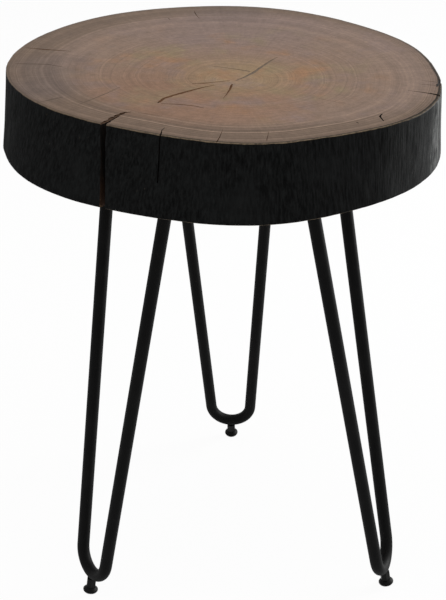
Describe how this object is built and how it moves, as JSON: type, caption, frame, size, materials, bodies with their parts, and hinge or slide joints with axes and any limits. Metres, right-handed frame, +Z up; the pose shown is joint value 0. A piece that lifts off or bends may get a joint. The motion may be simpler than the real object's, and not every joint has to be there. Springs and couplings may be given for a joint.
{
  "type": "side table",
  "caption": "Round side table: a thick slab cut across a tree trunk, end grain up with a dark natural rim, on splayed black hairpin legs with screw-in levelling feet.",
  "frame": {"origin": "on the floor, under the middle of the table's overall box", "axes": "+Z up; -Y is the front, where two of the legs stand, and +Y the rear, with the third leg; +X is to the right as seen from the front"},
  "size_m": [0.3913, 0.3992, 0.508],
  "materials": {
    "slab_wood": "satin lacquer, rim stained dark",
    "leg_black": "satin black powder coat",
    "screw_steel": "zinc plated",
    "stud_black": "black oxide",
    "foot_plastic": "fine matte"
  },
  "bodies": {
    "table": {"slab_top": "slab_wood", "mounting_plate_front_left": "leg_black", "hairpin_bar_front_left": "leg_black", "plate_welds_front_left": "leg_black", "plate_screws_front_left": "screw_steel", "mounting_plate_front_right": "leg_black", "hairpin_bar_front_right": "leg_black", "plate_welds_front_right": "leg_black", "plate_screws_front_right": "screw_steel", "mounting_plate_rear": "leg_black", "hairpin_bar_rear": "leg_black", "plate_welds_rear": "leg_black", "plate_screws_rear": "screw_steel"},
    "foot_stud_front_left": {"foot_stud_front_left": "stud_black"},
    "foot_base_front_left": {"foot_base_front_left": "foot_plastic"},
    "foot_stud_front_right": {"foot_stud_front_right": "stud_black"},
    "foot_base_front_right": {"foot_base_front_right": "foot_plastic"},
    "foot_stud_rear": {"foot_stud_rear": "stud_black"},
    "foot_base_rear": {"foot_base_rear": "foot_plastic"}
  },
  "joints": [
    {"name": "foot_travel_front_left", "type": "slide", "parent": "table", "child": "foot_stud_front_left", "axis": [-0.1395, -0.0941, -0.9857], "range_m": [0, 0.005]},
    {"name": "foot_swivel_front_left", "type": "hinge", "parent": "foot_stud_front_left", "child": "foot_base_front_left", "pos_m": [-0.13218, -0.09521, 0.00028], "axis": [-0.1395, -0.0941, -0.9857], "continuous": true},
    {"name": "foot_travel_front_right", "type": "slide", "parent": "table", "child": "foot_stud_front_right", "axis": [0.1599, -0.0526, -0.9857], "range_m": [0, 0.005]},
    {"name": "foot_swivel_front_right", "type": "hinge", "parent": "foot_stud_front_right", "child": "foot_base_front_right", "pos_m": [0.16214, -0.08633, 0.00028], "axis": [0.1599, -0.0526, -0.9857], "continuous": true},
    {"name": "foot_travel_rear", "type": "slide", "parent": "table", "child": "foot_stud_rear", "axis": [0.0135, 0.1678, -0.9857], "range_m": [0, 0.005]},
    {"name": "foot_swivel_rear", "type": "hinge", "parent": "foot_stud_rear", "child": "foot_base_rear", "pos_m": [0.00949, 0.19067, 0.00028], "axis": [0.0135, 0.1678, -0.9857], "continuous": true}
  ]
}
